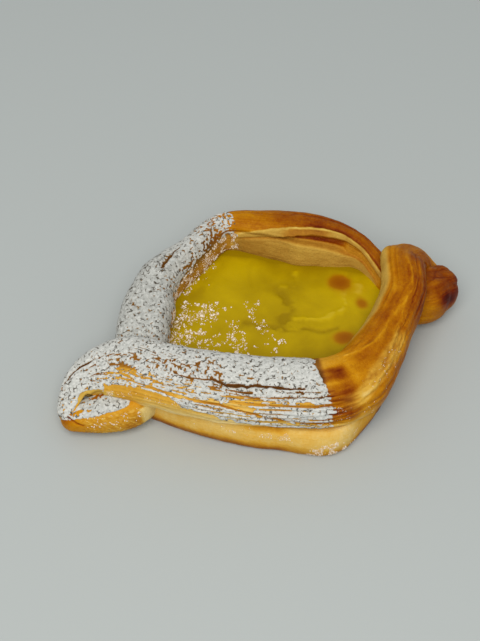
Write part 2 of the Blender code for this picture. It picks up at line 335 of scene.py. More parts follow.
# Stations: x, y and z of the strip's middle, its width and height there, and its roll in degrees
frontStrip = {
    "stations": [
        (-65.8, -11.4, 7, 9, 9, 0),  # its root, round the tip of the left loop
        (-60.6, -7, 10, 13.5, 11, 5),
        (-50, -7.2, 14, 20, 12, 14),  # over the back strip
        (-37, -17.5, 17, 21, 14, 14),
        (-20, -29.2, 17.5, 21.5, 15, 12),
        (-4, -37.2, 17.5, 21.5, 15, 10),
        (9, -40.8, 16.5, 22, 16, 8),  # the front corner
        (17.2, -38.2, 15, 20.5, 19, 10),
        (26, -31.5, 14.5, 18, 20, 12),
        (37, -21, 15, 15.2, 20, 12),
        (45.6, -10.8, 17.2, 15, 18.5, 7),
        (50, -2.4, 17.8, 14.5, 15.5, 0),  # over the back strip again
        (55, 0, 13.5, 12.5, 13, 0),
        (60.5, -2.8, 9, 9, 9, 0),  # its root, behind the right lobe
    ],
    "seed": 100,
    "bake": 0.48, "sugaredBake": 0.46,  # how brown it is at large, and how much darker it is painted under the sugar, as shade in the coat's holes
    "layerSpacing": 1.8, "layerHeight": 0.34, "layerDepth": 0.45,  # mm: the layers of its left part
    "foldSpacing": 3.4, "foldHeight": 0.24, "foldDepth": 0.2,  # mm: the folds of its right-hand part
    "fineFoldSpacing": 1.3,
    # places and angles that each area lies between, with their softness
    "areas": {
        "tuck": ((-3, 4, 3), (-80, 42, 18)),  # where the strip is tucked in at the loop
        "tuckEnd": ((5, 11, 3), (-80, 26, 20)),
        "seam": ((32, 58, 5), (-24, 14, 8)),  # where its left part lies on the base, painted paler there as light that lifts the shade between strip and base
        "paleCracks": ((12, 46, 8), (20, 84, 6)),
        "burnt": ((82.5, 87.5, 3.5), (0, 98, 12)),
        "threads": ((112, 165, 8), (-20, 95, 12)),
        "fineFolds": ((118, 170, 10), (-30, 92, 10)),
        "brownEnd": ((128, 160, 8), (-80, 78, 14)),
    },
    # local browning: x, y, z, radius in mm and how much it adds to the bake
    "spots": [(8.5, -40, 24, 3.0, 0.14), (9.5, -47.5, 22.5, 2.6, 0.14), (8.5, -51.5, 18, 1.6, 0.12),
              (38.5, -18.3, 25, 2.4, 0.05), (32.3, -23.5, 24.4, 2.2, 0.08)],
    # how far the layers fan down from the loop: degrees by which a layer's angle drops, at places along the strip
    "drop": [(15, -34), (21, -28), (30, -17.5), (40.6, -10), (47, -4), (55, -1), (61, 0), (90, 0)],
    # cracks between layers: half-width in degrees, depth, and angles at places along the strip
    "cracks": [
        (4.0, 1.2, [(4.0, 138), (6.6, 122), (10, 111.5), (13, 103.5)]),
        (1.7, 1.5, [(55, 81), (57, 80), (64, 83), (71, 82), (77, 80.5)]),
        (1.3, 0.8, [(40, 86), (43.6, 84.5), (51, 86), (56, 80)]),
        (1.6, 0.7, [(70, 77), (74, 75), (79, 75.5), (84, 76)]),
        (1.8, 0.8, [(58, 66), (63, 62), (70, 64), (76, 66.5), (84, 66)]),
        (2.8, 1.3, [(45, 42), (54, 38), (62, 23.5), (71.6, 6.5), (76.5, 0.5), (86, -4)]),
        (1.4, 0.7, [(21.4, 81.5), (25, 71), (28.7, 62.5)]),
        (1.8, 0.8, [(22, 81), (30, 71), (40.6, 63.5), (47, 57.5)]),
        (1.8, 0.7, [(22.5, 66), (29, 59), (37.6, 48), (41, 44)]),
        (1.2, 0.6, [(14.8, 80), (20, 68), (26.9, 61.5)]),
        (1.6, 0.6, [(10.5, 77), (13.5, 61)]),
    ],
    # pale raised threads of its right-hand part, in the same way
    "ridges": [
        (2.4, 1.0, [(93, 118), (101, 105), (106, 96), (114, 95), (121, 91.5), (128, 86), (133, 80)]),
        (1.6, 0.8, [(131, 77), (137, 73), (141, 74)]), (1.4, 0.8, [(133, 84), (139, 85), (144, 90)]),
        (1.4, 0.7, [(128, 66), (135, 66), (142, 60)]), (1.3, 0.6, [(104, 86), (110, 82), (118, 83)]),
        (1.3, 0.6, [(106, 74), (112, 77), (117, 80)]), (1.2, 0.6, [(98, 112), (106, 108), (112, 103)]),
    ],
    # and its browner streaks
    "stains": [
        (9, 0.04, [(96, 92), (108, 110), (122, 104), (134, 96)]),
        (1.2, 0.13, [(119, 70), (125, 72), (129, 73.5), (135, 71)]),
        (1.1, 0.12, [(111, 75), (116, 74), (122, 69)]), (2.0, 0.1, [(124, 97), (132, 92), (140, 88)]),
        (7, 0.08, [(118, 40), (130, 44), (142, 42)]),
    ],
    # bare golden bands between them, in the same way
    "bands": [
        (2.0, 0.9, [(58, 53), (61, 53), (68, 54), (74, 53.5), (79, 54)]),
        (6.5, 1.2, [(40, 48), (46.5, 45), (52, 44), (58, 41), (63, 33)]),
        (2.2, 0.8, [(66, 5), (72, -2), (78, -6), (85, -9)]),
        (1.4, 0.7, [(60, 40), (66, 36), (72, 38), (78, 36)]),
    ],
    # at places along the strip: where its pale cut edge starts (here by x), where the lip of its loop lies, the
    # heart of its wrinkled patch, and where the sugar lies thick, all in degrees
    "cutStart": [(15, 176), (20, 160), (28, 148), (35, 138), (42, 139), (50, 134)],
    "lip": [(2, 70), (4.7, 66), (9, 44), (13.6, 24), (20.9, 18), (26, 20)],
    "wrinkled": [(88, 44), (91, 52), (95, 63), (102, 65), (112, 62)],
    "sugarThick": [(10, 64), (20, 84), (46, 78), (60, 64)],
    "coat": (-3.8, 90.0, -50, 190),  # the sugar's coat lies between these places and between these angles
    # its lowest angle, and how loosely it lies, at places along the strip
    "sugarLow": [(0, 62), (4.7, 74), (9, 52), (13, 31), (14.6, 34), (15.6, 50), (23, 48), (32, 50), (35, 42),
                 (41, 34), (44, 12), (48.7, 7), (55.7, 0), (62, -9), (70, -18), (78, -28), (84, -31), (90, -31)],
    "loose": [(0, 0.15), (20, 0.15), (60, 0.05), (90, 0)],
    # where it is open to the crust: place, angle, their reach, and how much
    "bald": [(44, 99, 7, 8, 0.55), (50, 90, 5, 6, 0.5), (36, 96, 9, 7, 0.35), (80, 66, 5, 8, 0.3),
             (-3, 52, 2.6, 16, 0.9)],
    "grey": [(0, 0), (90, 0)],  # how much greyer it is painted, as shade
    # how much steeper the faces may be that it clings to
    "steep": [(0, 0.05), (41, 0.05), (46, 0.45), (60, 0.4), (90, 0.45)],
}
backStrip = {
    "stations": [
        (-66, -14, 6, 8.5, 8, 0),  # its root, the left lobe
        (-57, -16, 6.5, 12.4, 12, 0),
        (-46.7, -15, 7.5, 15.5, 13, 0),
        (-41, -3, 11, 15.5, 14, 0),  # out from under the front strip
        (-36.4, 8, 14, 15.5, 15, 0),
        (-24.8, 21.2, 15, 13.5, 16, 0),
        (-10, 28.8, 15.5, 9.8, 16.5, 0),
        (0.8, 34, 16.2, 10, 17.5, 0),  # the back corner
        (9.8, 30.8, 16.5, 12.5, 18, 0),
        (19.3, 26.1, 16.5, 15.5, 18, 0),
        (31.6, 18.6, 16, 14.3, 18, 0),
        (41.5, 8.2, 14, 9, 14.5, 0),
        (48, -6, 10, 15, 14, 0),  # under the front strip again
        (55.5, -9, 9, 17.5, 17, 0),
        (60, -8.3, 8.5, 13.5, 14.5, 0),  # its root, the right lobe
    ],
    "seed": 200,
    "bake": 0.60, "sugaredBake": 0.42,
    "areas": {"wall": ((44, 95, 4), (-40, 20, 12))},  # its inner side along the sugared custard, painted darker and duller there as shade
    "spots": [(58.7, -15.9, 13, 3.0, 0.32), (62, -14.3, 10, 3.8, 0.38), (65, -12, 11, 3.0, 0.18),
              (20, 26.5, 25, 3.5, 0.1), (-68.5, -15, 8.5, 2.2, 0.25), (-49.5, -23, 5, 3.0, 0.14),
              (-57, -12.6, 12.6, 3.0, 0.3)],
    # broad swells and hollows: mm, and the places and angles that each lies between, with their softness
    "lumps": [(2.0, (38, 52, 7), (-60, 50, 25)), (-0.4, (64, 84, 7), (-60, 50, 25)),
              (-1.3, (92, 110, 8), (-60, 26, 15)), (0.9, (64, 84, 8), (85, 150, 20)),
              (-0.9, (139, 152, 6), (-60, 40, 12)), (1.3, (160, 173, 4), (70, 140, 20))],
    "cracks": [
        (1.7, 1.2, [(63, 88), (67, 92), (73, 98.5)]),
        (1.4, 1.0, [(49, 117), (53, 114), (57, 111)]),
        (5.0, 1.1, [(-1.4, 64), (-0.4, 47), (1.1, 24), (2.6, 10)]),
        (1.5, 0.35, [(163, 76), (167, 92), (171, 110)]), (1.5, 0.3, [(166.5, 86), (170, 78), (174.5, 70)]),
        (1.4, 0.25, [(160, 92), (166, 112), (169, 126)]),
    ],
    # where its layers parted over the custard, from the window's back corner at 0 to the crossing at 1: angles of
    # the lip's top, the lip's lower edge and the bulging wall's top
    "parting": [
        [(-0.1, 16), (0, 26), (0.1, 42), (0.2, 55), (0.3, 65), (0.5, 75), (0.65, 77), (0.85, 66), (1, 64)],
        [(-0.1, 5), (0, 11), (0.1, 19), (0.3, 36), (0.5, 51), (0.7, 57), (0.85, 52), (1, 45)],
        [(-0.1, 2), (0, 9), (0.1, 16), (0.25, 27), (0.45, 25), (0.6, 22), (0.8, 15), (1, 12)],
    ],
    "coat": (-3.4, 97.0, -18, 215),
    "sugarLow": [(0, 42), (5, 46), (9, 47), (12, 55), (15.6, 60), (18, 80), (24, 60), (38, 2), (43, -8),
                 (50, -12), (58, -10), (62, 0), (66, 18), (71, 16), (75, 28), (80, 24), (87, 10), (97, 8)],
    "loose": [(0, 0.1), (30, 0.05), (60, 0.1), (76, 0.3), (86, 0.6), (97, 0.75)],
    "bald": [(70, 30, 9, 22, 0.5), (84, 30, 9, 20, 0.6), (60, 14, 5, 10, 0.4), (54, -8, 14, 13, 0.6),
             (1.5, 74, 2.6, 12, 0.9), (9.5, 111, 4, 10, 1.3)],
    # painted shade: the sugar on the back-left arm, which lies in less light, painted greyer
    "grey": [(0, 0), (20, 0.08), (30, 0.14), (60, 0.14), (75, 0.08), (97, 0)],
    "steep": [(0, 0.35), (97, 0.35)],
}
sectionPower = 0.75  # 1 would be an ellipse, 0 a rectangle
sugarRoom = 0.35  # mm that the crust lies inside the solid, which leaves room for the sugar on it
meanGirth = 56.0  # mm round a strip


# Values and slopes of the natural cubic spline through the knots, at these places along it in mm.
def spline(knots, places):
    knots = np.array(knots, float)
    steps = np.linalg.norm(np.diff(knots[:, :3], axis=0), axis=1)
    at = np.concatenate([[0], np.cumsum(steps)])
    slopes = np.diff(knots, axis=0) / steps[:, None]
    system, target = np.eye(len(at)), np.zeros_like(knots)
    for i in range(1, len(at) - 1):
        system[i, i - 1 : i + 2] = steps[i - 1], 2 * (steps[i - 1] + steps[i]), steps[i]
        target[i] = 6 * (slopes[i] - slopes[i - 1])
    bend = np.linalg.solve(system, target)
    i = np.clip(np.searchsorted(at, places, side="right") - 1, 0, len(at) - 2)
    step = steps[i][:, None]
    b = (places - at[i])[:, None] / step
    a = 1 - b
    value = a * knots[i] + b * knots[i + 1] + ((a**3 - a) * bend[i] + (b**3 - b) * bend[i + 1]) * step**2 / 6
    slope = slopes[i] + ((3 * b**2 - 1) * bend[i + 1] - (3 * a**2 - 1) * bend[i]) * step / 6
    return value, slope, at[-1]


# A strip's skin at these places along it and angles round it, 0 at its right-hand side and 90 on top: the
# spline's middle + width/2 * cos^p * side + height/2 * sin^p * up. Past either end the section keeps the end's
# and shrinks as a half circle does.
def stripSkin(strip, places, angles):
    length = spline(strip["stations"], np.zeros(1))[2]
    rows, slopes, _ = spline(strip["stations"], np.clip(places, 0, length))
    middle, width, height, roll = rows[:, :3], rows[:, 3], rows[:, 4], np.radians(rows[:, 5])[:, None]
    ahead = unit(slopes[:, :3])
    right = unit(np.cross(ahead, (0, 0, 1)))
    up = np.cross(right, ahead)
    side = np.cos(roll) * right - np.sin(roll) * up
    top = np.sin(roll) * right + np.cos(roll) * up
    past = (places - np.clip(places, 0, length)) / (height / 2)
    shrink = np.sqrt(np.maximum(1 - past**2, 0))
    middle = middle + ahead * (past * height / 2)[:, None]
    turn = np.radians(angles)
    across = np.sign(np.cos(turn)) * np.abs(np.cos(turn)) ** sectionPower
    tall = np.sign(np.sin(turn)) * np.abs(np.sin(turn)) ** sectionPower
    wide = (shrink * (width / 2 - sugarRoom))[:, None] * across
    high = (shrink * (height / 2 - sugarRoom))[:, None] * tall
    skin = middle[:, None] + wide[..., None] * side[:, None] + high[..., None] * top[:, None]
    return skin, middle[:, 0][:, None] + 0 * turn


# Places along the whole strip, its domed ends included, closer together towards the poles.
def wholeStrip(strip, steps, capSteps):
    length = spline(strip["stations"], np.zeros(1))[2]
    ends = spline(strip["stations"], np.array([0, length]))[0][:, 4] / 2
    turn = np.linspace(math.pi / 2, 0, capSteps, endpoint=False)[1:]
    return np.concatenate([-ends[0] * np.sin(turn), np.linspace(0, length, steps),
                           length + ends[1] * np.sin(turn[::-1])]), ends, length


# Rounded ridges of this spacing, and the narrow groove between each and the next.
def sheets(coordinate, spacing, groove):
    part = coordinate / spacing - np.floor(coordinate / spacing)
    return np.sin(math.pi * part) - 0.6, np.exp(-((np.minimum(part, 1 - part) / groove) ** 2))


# Thin lines along a strip: where noise drawn out along it crosses zero.
def cracks(along, around, stretch, spacing, width, seed):
    line = noise(np.stack([along / stretch, around / spacing, 0 * along], -1), 1.0, seed)
    return np.exp(-((line / width) ** 2))


# The area of this name of a strip: the window of its places times the window of its angles.
def area(strip, name, place, angle):
    along, turn = strip["areas"][name]
    return window(place, *along) * window(angle, *turn)


# Bells of this half-width in degrees across lines through places and angles, fading out at their ends.
def grooves(lines, place, angle, wander):
    total = 0 * angle
    for width, depth, knots in lines:
        first, last = knots[0][0], knots[-1][0]
        off = angle - tableValue(knots, place) + wander
        wide = width * (0.45 + 0.55 * window(place, first + 1, last - 1, 3))
        total = np.maximum(total, depth * np.exp(-((off / wide) ** 2)) * window(place, first, last, 1.2))
    return total


# Relief in mm, bake, cut and crease of the front strip: lumps, layers that fan out from the loop and run along
# its outer side, finer folds over its right-hand part and a pale cut edge along that part's inner side.
def frontRelief(strip, skin, x, angle, place):
    seed = strip["seed"]
    around = angle / 360 * meanGirth
    flow = np.stack([place / 26, around / 8, 0 * x], -1)

    def drawn(stretch, number, octaves=3):  # noise drawn out along the strip
        return fractal(flow * stretch, 1.0, seed + number, octaves)

    wander = drawn(1, 1) + 0.3 * drawn((5, 2, 1), 2)
    # layers along the outer side
    level = (angle + tableValue(strip["drop"], place)) / 360 * meanGirth
    shift = 0.5 * wander + 0.25 * drawn((3, 1.5, 1), 17)
    ridge, groove = sheets(level + shift, strip["layerSpacing"], 0.1)
    _, fineGroove = sheets(level + shift + 0.4, strip["layerSpacing"] / 2, 0.15)
    broken = ease(drawn((3.0, 2.2, 1), 3), -0.1, 0.3)
    patchy = ease(drawn((4.0, 5.0, 1), 23), -0.15, 0.25)
    flank = window(angle - 20 * window(place, 20, 62, 8), -72, 60, 12) * window(x, -53, 5, 6)
    flank *= ease(angle, -64, -52)
    upper = window(level * 360 / meanGirth, 40, 76, 8) * window(place, 14, 88, 4) * window(angle, 40, 100, 8)
    crack = grooves(strip["cracks"], place, angle, 1.6 * noise(skin, 1.6, seed + 18))
    band = grooves(strip["bands"], place, angle, 3.0 * noise(skin, 1.8, seed + 19))
    # folds of the right-hand part
    right = window(x, 16, 66, 8)
    bend = drawn((3.2, 1.6, 1), 9)
    fold, foldGroove = sheets(around + 1.6 * wander + 1.1 * bend, strip["foldSpacing"], 0.16)
    strength = ease(drawn((1.6, 1.3, 1), 13), -0.3, 0.5)
    folded = window(angle, -70, 125, 12) * right * (0.25 + 0.75 * strength)
    fineFold, fineFoldGroove = sheets(around + 2.2 * wander + 0.8 * bend, strip["fineFoldSpacing"], 0.18)
    fineFolded = right * area(strip, "fineFolds", place, angle) * (0.3 + 0.7 * strength)
    streak = drawn((2.5, 9, 1), 16, 2)
    thread = cracks(place, around - 0.08 * place, 5, 0.55, 0.14, seed + 20)
    thread *= area(strip, "threads", place, angle)
    # the pale cut edge along the window, the lip of the loop, the burnt turn and the pale wrinkled patch
    start = tableValue(strip["cutStart"], x)
    cut = ease(angle, start - 7, start + 9) * (1 - ease(angle, 172, 182)) * window(x, 16, 56, 4)
    scorch = drawn((4, 3, 1), 27, 2)
    burnt = area(strip, "burnt", place, angle) * np.clip(0.65 + 0.3 * streak + 0.4 * scorch, 0, 1.1)
    heart = tableValue(strip["wrinkled"], place)
    pale = window(angle - heart, -14, 13, 9) * window(place, 89, 112, 5)
    wrinkle = fractal(np.stack([place / 2.4, around / 0.9, 0 * x], -1), 1.0, seed + 15, 2)
    gape = window(place, 2.5, 19, 2) * window(angle - tableValue(strip["lip"], place), -22, 8, 4)
    tuck = area(strip, "tuck", place, angle) + 0.3 * area(strip, "tuckEnd", place, angle)
    relief = 0.5 * fractal(skin, 12, seed + 4) + 0.14 * fractal(skin, 3.5, seed + 5)
    calm = 1 - 0.65 * window(place, 14, 44, 4)
    layers = strip["layerHeight"] * ridge - strip["layerDepth"] * groove * broken
    relief += flank * calm * (layers - 0.18 * fineGroove * patchy)
    relief += upper * (0.12 * ridge - 0.25 * groove * broken - 0.12 * fineGroove * broken)
    relief -= 0.55 * crack + 0.1 * band
    relief += folded * (strip["foldHeight"] * fold - strip["foldDepth"] * foldGroove)
    relief += fineFolded * (0.1 * fineFold - 0.08 * fineFoldGroove)
    relief += 0.3 * cut + 0.3 * wrinkle * pale + 0.07 * wrinkle * right - 3.3 * tuck + 0.06 * thread
    wobble = 1.4 * noise(skin, 1.8, seed + 26)
    raised = grooves(strip["ridges"], place, angle, wobble) * (0.5 + 0.5 * patchy)
    stain = grooves(strip["stains"], place, angle, 2 * wobble)
    relief += 0.22 * raised - 0.3 * stain * (angle < 90)
    relief += 1.9 * bell(skin, (45.3, 1.1, 23), 3.5) - 1.6 * bell(skin, (55, -2.2, 25), 4.0)
    under = window(angle, -95, -8, 14) * window(x, -62, 14, 8)
    seam = area(strip, "seam", place, angle)
    thick = tableValue(strip["sugarThick"], place)
    sugared = ease(angle, thick - 5, thick + 5)
    sugared *= (1 - ease(angle, 195, 205)) * ease(-x, -5, -3) * ease(place, 2, 6)
    bake = strip["bake"] + 0.08 * fractal(skin, 10, seed + 6) + 0.05 * drawn((2, 1.5, 1), 7)
    bake += 0.09 * window(x, 14, 70, 10) + 0.05 * right * window(angle, 70, 130, 15) - 0.16 * under
    # painted shade: browner in the grooves between the layers and between the folds, and painted highlight: paler
    # on the folds' crests
    bake += -0.13 * window(x, -70, 12, 6) + flank * calm * (0.2 * groove * broken + 0.08 * fineGroove)
    bake += 0.04 * folded * foldGroove - 0.03 * folded * fold
    bake += fineFolded * (0.03 * fineFoldGroove - 0.04 * fineFold)
    bake += right * 0.04 * fractal(skin, 4, seed + 25)
    bake += 0.035 * right * streak + 0.5 * burnt + 0.05 * right * window(angle, -40, 22, 12) - 0.05 * thread
    # painted shade: darker and duller crust under the sugar, so that its holes look shaded
    bake += strip["sugaredBake"] * sugared - 0.1 * band * (1 - sugared)
    # painted shade in the cracks, less of it in the pale ones
    bake += (0.3 - 0.2 * area(strip, "paleCracks", place, angle)) * crack
    bake += 0.1 * area(strip, "brownEnd", place, angle)
    bake += stain - 0.14 * raised - 0.07 * right * window(angle, 112, 150, 8)
    bake -= pale * (0.15 + 0.18 * wrinkle)
    cream = np.clip(cut + gape, 0, 1)
    bake = bake * (1 - 0.75 * cream) + 0.28 * cut + 0.3 * gape
    _, opening = sheets(level + shift, strip["layerSpacing"], 0.1 + 0.02 * window(place, 20, 62, 8))
    dusting = window(angle + 0.75 * (place - 45), 66, 104, 8) * window(place, 24, 62, 6)
    _, hairGroove = sheets(around + 0.12 * place + 1.2 * shift, 0.75, 0.2)
    flaked = ease(drawn((7, 5, 1), 29), -0.05, 0.25)
    crease = np.clip(flank * opening * broken + 0.55 * flank * fineGroove * patchy + upper * groove * broken
                     + 0.5 * upper * fineGroove * broken + 0.7 * dusting * hairGroove * flaked + crack
                     + band * (0.6 + 0.5 * patchy), 0, 1.6)
    # painted light: paler where the strip lies on the base, lifting the shade between them
    bake -= 0.12 * seam
    soft = 0.35 * window(x, -60, 2, 5) * (1 - sugared) + 0.08 * seam
    return relief, bake, np.clip(cream + 0.4 * pale + 0.6 * sugared + soft, 0, 1), crease


# Relief in mm, bake, cut and crease of the back strip: lumps, and over the custard the layers that parted as a
# pale lip, a browned recess and a bulging pale wall, all between lines that part and close along the strip.
def backRelief(strip, skin, x, angle, place):
    seed = strip["seed"]
    around = angle / 360 * meanGirth
    flow = np.stack([place / 20, around / 8, 0 * x], -1)
    wander = fractal(flow, 1.0, seed + 1)
    t = (place - 98) / 48  # 0 at the window's back corner and 1 at the crossing on the right
    inWindow = window(t, 0.0, 1.06, 0.06)
    lipTop, lipLow, bulgeTop = (tableValue(line, t) + 2 * wander for line in strip["parting"])
    torn = 2.2 * noise(skin, 1.4, seed + 26) * ease(t, 0.0, 0.3)
    lipTop, lipLow = lipTop + torn, lipLow + 0.6 * torn
    lip = ease(angle, lipLow - 2, lipLow + 2) * ease(-angle, -lipTop - 2, -lipTop + 2) * inWindow
    gap = ease(angle, bulgeTop, bulgeTop + 4) * ease(-angle, -lipLow - 1, -lipLow + 3) * inWindow
    recess = gap * window(t, 0.28, 0.72, 0.06)
    bulge = ease(-angle, -bulgeTop - 1, -bulgeTop + 5) * window(angle, -75, 40, 12) * window(t, -0.05, 1.04, 0.06)
    above = (1 - bulge) * ease(angle, bulgeTop - 6, bulgeTop) * ease(-angle, -lipLow - 2, -lipLow + 2) * inWindow
    swell = np.sin(math.pi * np.clip((t + 0.05) / 0.95, 0, 1)) * window(angle, -60, 26, 16)
    bandGroove = np.exp(-(((angle - 108 - 2 * wander) / 4) ** 2)) * window(t, 0.4, 1.0, 0.1)
    bandLine = np.exp(-(((angle - lipTop - 7) / 3.5) ** 2)) * window(t, 0.5, 1.0, 0.1)
    fineRidge, fineGroove = sheets(around + 1.2 * wander, 1.4, 0.15)
    lines = cracks(place, around, 10, 1.3, 0.12, seed + 10) * window(x, -3, 75, 5)
    lobe = window(x, 47, 70, 4)
    fanRidge, fanGroove = sheets(place + 0.03 * angle + 1.5 * wander, 1.1, 0.16)
    # pale streaks across the left lobe, painted as glossy highlights
    fanHighlight = cracks(around, place + 0.09 * angle, 4, 0.55, 0.1, seed + 24) * window(place, 4, 17, 3)
    fan = window(x, -62, -47, 3) * window(angle, -75, 40, 12)
    relief = 0.4 * fractal(skin, 12, seed + 4) + 0.14 * fractal(skin, 3.5, seed + 5)
    for lump, along, turn in strip["lumps"]:
        relief += lump * window(place, *along) * window(angle, *turn)
    relief -= 0.3 * ease(place, 173, 177)
    crack = grooves(strip["cracks"], place, angle, 1.6 * noise(skin, 1.6, seed + 18))
    relief += 0.35 * lip - (0.5 + 0.4 * ease(-t, -0.3, -0.2)) * gap - 1.6 * recess + bulge * swell
    relief -= 0.5 * crack + 0.45 * bandGroove + 0.25 * bandLine
    radial = cracks(place, around, 6, 1.5, 0.16, seed + 21) * window(angle, 40, 150, 15)
    relief += lobe * (0.02 * fineRidge - 0.03 * fineGroove - 0.3 * radial) + 0.12 * fan * (fanRidge - fanGroove)
    relief -= 0.12 * lines * (1 - 0.7 * lobe)
    bake = strip["bake"] + 0.07 * fractal(skin, 9, seed + 6) + 0.06 * fractal(flow * (2, 1.5, 1), 1.0, seed + 7)
    # painted shade in the band's grooves along the top
    bake += 0.12 * bandLine + 0.08 * bandGroove + recess * (0.16 - 0.28 * ease(bulgeTop - angle, -12, -4))
    bake += (0.04 - 0.14 * ease(t, 0.66, 0.76)) * gap + 0.05 * lines
    bake += 0.06 * window(x, 24, 46, 6) * window(angle, 60, 140, 10)
    bake -= 0.12 * window(x, -70, 0, 10) + 0.08 * window(x, -62, -46, 6)
    # painted shade in the lobes' fine grooves and radial lines and in the fan's grooves
    bake += lobe * (0.02 * fineGroove + 0.07 * radial - 0.02 - 0.05 * window(angle, -90, 14, 14))
    # the fan's pale streaks are painted highlight
    bake += fan * (0.04 * fanGroove + 0.04 - 0.12 * fanHighlight)
    bake += 0.11 * lobe * window(angle, 60, 160, 20)
    bake += 0.07 * window(t, 0.55, 1.0, 0.1) * window(angle, 70, 160, 10)
    face = window(x, -48.2, -42, 0.9) * window(angle, -80, 28, 8)
    rim = ease(angle - lipTop, -9, -4)
    ochre = (1 - rim) * window(t, 0.36, 0.55, 0.12)
    sill = above * (1 - recess * ease(angle - bulgeTop, 5, 12))
    tail = ease(t, 0.66, 0.8)
    # the fan's painted highlight streaks also take the paler cut colour
    cut = lip * (1 - 0.6 * ochre) + 0.9 * bulge + face + (0.5 - 0.25 * tail) * sill + 0.4 * fan * fanHighlight
    cut = np.clip(cut, 0, 1)
    bulgeTone = 0.5 - 0.06 * ease(t, 0.1, 0.35) - 0.11 * window(t, 0.42, 1.0, 0.1)
    lipTone = 0.42 - (0.13 + 0.1 * noise(skin, 2.5, seed + 27)) * rim + 0.1 * ease(t, 0.6, 0.8)
    # painted shade in the cracks
    bake += 0.3 * np.clip(crack, 0, 1)
    dusted = ease(-x, -5, 3) * ease(angle, 0, 30) * ease(place, 25, 35) * (1 - 0.7 * ease(place, 80, 90))
    wall = area(strip, "wall", place, angle)
    # painted shade: darker crust under the sugar, so that its holes look shaded
    bake += strip["sugaredBake"] * dusted + 0.08 * ochre * lip
    # painted shade on the inner wall beside the sugared custard
    bake += wall * (0.06 + 0.06 * fractal(skin, 2.5, seed + 28))
    cutTone = lipTone * lip + bulgeTone * bulge + 0.1 * face + (0.5 + 0.12 * tail) * sill
    bake = bake * (1 - 0.9 * cut) + cut * cutTone
    crease = np.clip(fan * fanGroove + crack, 0, 1.5)
    return relief, bake, np.clip(cut + 0.75 * dusted + 0.2 * fan + 0.6 * wall, 0, 1), crease


# The finished crust of a strip on a grid of places and angles, with its fields.
def bakedStrip(strip, reliefOf, places, angles, around):
    skin, x = stripSkin(strip, places, angles)
    normal = gridNormals(skin, 1, around)
    angle = 0 * x + angles
    place = 0 * x + places[:, None]
    relief, bake, cut, crease = reliefOf(strip, skin, x, angle, place)
    for *spot, radius, amount in strip["spots"]:
        bake = bake + amount * bell(skin, spot, radius)
    fields = {"bake": bake, "cut": cut, "along": place, "around": angle / 360 * meanGirth}
    return skin + normal * relief[..., None], normal, fields, crease, angle


stripSteps, stripSides, capSteps = 430, 200, 14


def makeStrip(name, strip, reliefOf, material):
    places, ends, length = wholeStrip(strip, stripSteps, capSteps)
    angles = np.linspace(-90, 270, stripSides, endpoint=False)  # the seam lies underneath
    skin, _, fields, _, _ = bakedStrip(strip, reliefOf, places, angles, True)
    poles, _ = stripSkin(strip, np.array([-ends[0], length + ends[1]]), angles[:1])
    for points in skin, poles:
        points[..., 2] = np.maximum(points[..., 2], table + 0.05)
    addSkin(name, skin, poles[:, 0], fields, lambda value: value[[0, -1], 0], True, material, "dough",
            "baked_dough")


doughLook = crustMaterial()
makeStrip("frontStripCrust", frontStrip, frontRelief, doughLook)
makeStrip("backStripCrust", backStrip, backRelief, doughLook)


base = {
    "corners": [(-47.5, -15), (5.5, -54.3), (50.8, -13.2), (4, 43)],
    "height": 11.0, "bow": [4.0, 4.0, 4.0, 4.0], "edge": 3.0, "softness": 7.0,
    "sides": 640, "layers": 70, "seed": 300,
}
custard = {
    "corners": [(-43, -8), (7, -43), (49, -5), (2, 34)],
    "bow": [2.0, 2.5, 3.5, 5.0], "edge": 1.0, "softness": 6.0,
    "sides": 360, "rings": 130, "seed": 400,
    # brown blisters: x, y, their reach along x and y, and how brown they are
    "spots": [(30, 4.8, 3.6, 3.4, 0.9), (33.2, -7, 2.0, 2.6, 0.65), (21.8, -18.4, 3.8, 3.0, 0.9),
              (33, 0, 6, 4, 0.25)],
    # folds of the skin: width, height, and the line that each runs along
    "folds": [
        (1.1, 0.35, [(30, -2), (28.5, -6), (25, -8.6), (19.5, -7.8), (11, -5.5)]),
        (1.3, -0.3, [(22, -13.5), (15, -13), (8.5, -9.6), (4, -8)]),
        (2.4, -0.3, [(10.5, 6), (10, 1), (7.5, -5)]),
        (1.2, 0.25, [(19, 14), (16, 8.5), (12, 8.7)]),
        (1.4, -0.2, [(-6, -1), (0, -5.2), (5, -7.5)]),
        (1.6, 0.2, [(33, 6), (35, 1), (33, -3)]),
    ],
}


# Outline whose sides bow out by 4t(1-t) times the bow, its corners softened by a running mean.
def bowedDiamond(shape):
    corners = np.array(shape["corners"], float)
    t = np.linspace(0, 1, 300, endpoint=False)[:, None]
    sides = []
    for start, end, bow in zip(corners, np.roll(corners, -1, axis=0), shape["bow"]):
        edge = end - start
        outward = np.array([edge[1], -edge[0]]) / np.linalg.norm(edge)
        sides.append(start + t * edge + 4 * t * (1 - t) * bow * outward)
    outline = np.concatenate(sides)
    gap = np.linalg.norm(outline - np.roll(outline, 1, axis=0), axis=1).mean()
    reach = int(shape["softness"] / gap)
    soft = sum(np.roll(outline, shift, axis=0) for shift in range(-reach, reach + 1)) / (2 * reach + 1)
    walk = np.concatenate([[0], np.cumsum(np.linalg.norm(np.diff(soft, axis=0, append=soft[:1]), axis=1))])
    closed = np.vstack([soft, soft[:1]])
    at = np.linspace(0, walk[-1], shape["sides"], endpoint=False)
    return np.stack([np.interp(at, walk, closed[:, k]) for k in (0, 1)], axis=-1), at


